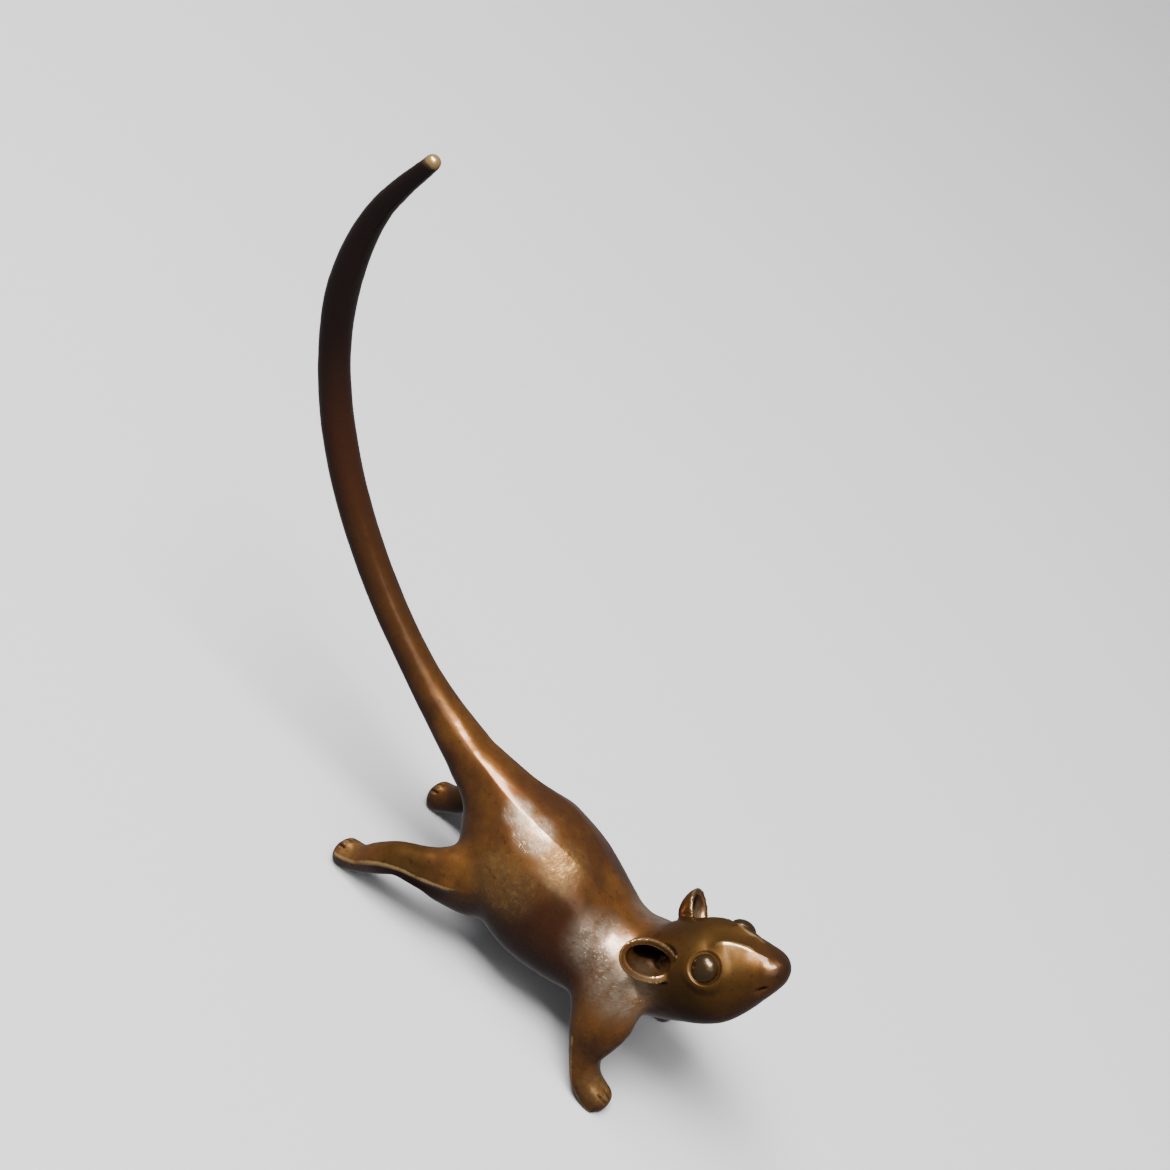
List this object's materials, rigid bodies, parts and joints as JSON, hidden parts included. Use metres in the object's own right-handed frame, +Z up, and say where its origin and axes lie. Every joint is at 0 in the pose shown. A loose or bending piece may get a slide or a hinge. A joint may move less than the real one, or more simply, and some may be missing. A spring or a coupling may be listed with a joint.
{
  "type": "mouse figurine",
  "caption": "Small solid bronze mouse figurine standing on its paws, head raised, cupped ears, long tapering tail curved up behind; a desk or shelf ornament.",
  "frame": {"origin": "on the ground plane under the middle of the bounding box", "axes": "+X towards the nose, +Y towards the mouse's left, +Z up; the paws stand on Z = 0"},
  "size_m": [0.069, 0.017, 0.0644],
  "materials": {
    "bronze": "patinated golden-brown bronze, semi-gloss",
    "tail_bronze": "darker brown patina, semi-gloss, rubbed bright at the tip",
    "ear_bronze": "patinated bronze with rubbed bright rims",
    "eye_bronze": "patinated bronze, polished dome"
  },
  "bodies": {
    "root": {"torso": "bronze", "head": "bronze", "tail": "tail_bronze", "fore_leg_right": "bronze", "fore_leg_left": "bronze", "hind_leg_right": "bronze", "hind_leg_left": "bronze", "ear_right": "ear_bronze", "ear_left": "ear_bronze", "eye_right": "eye_bronze", "eye_left": "eye_bronze"}
  },
  "joints": []
}
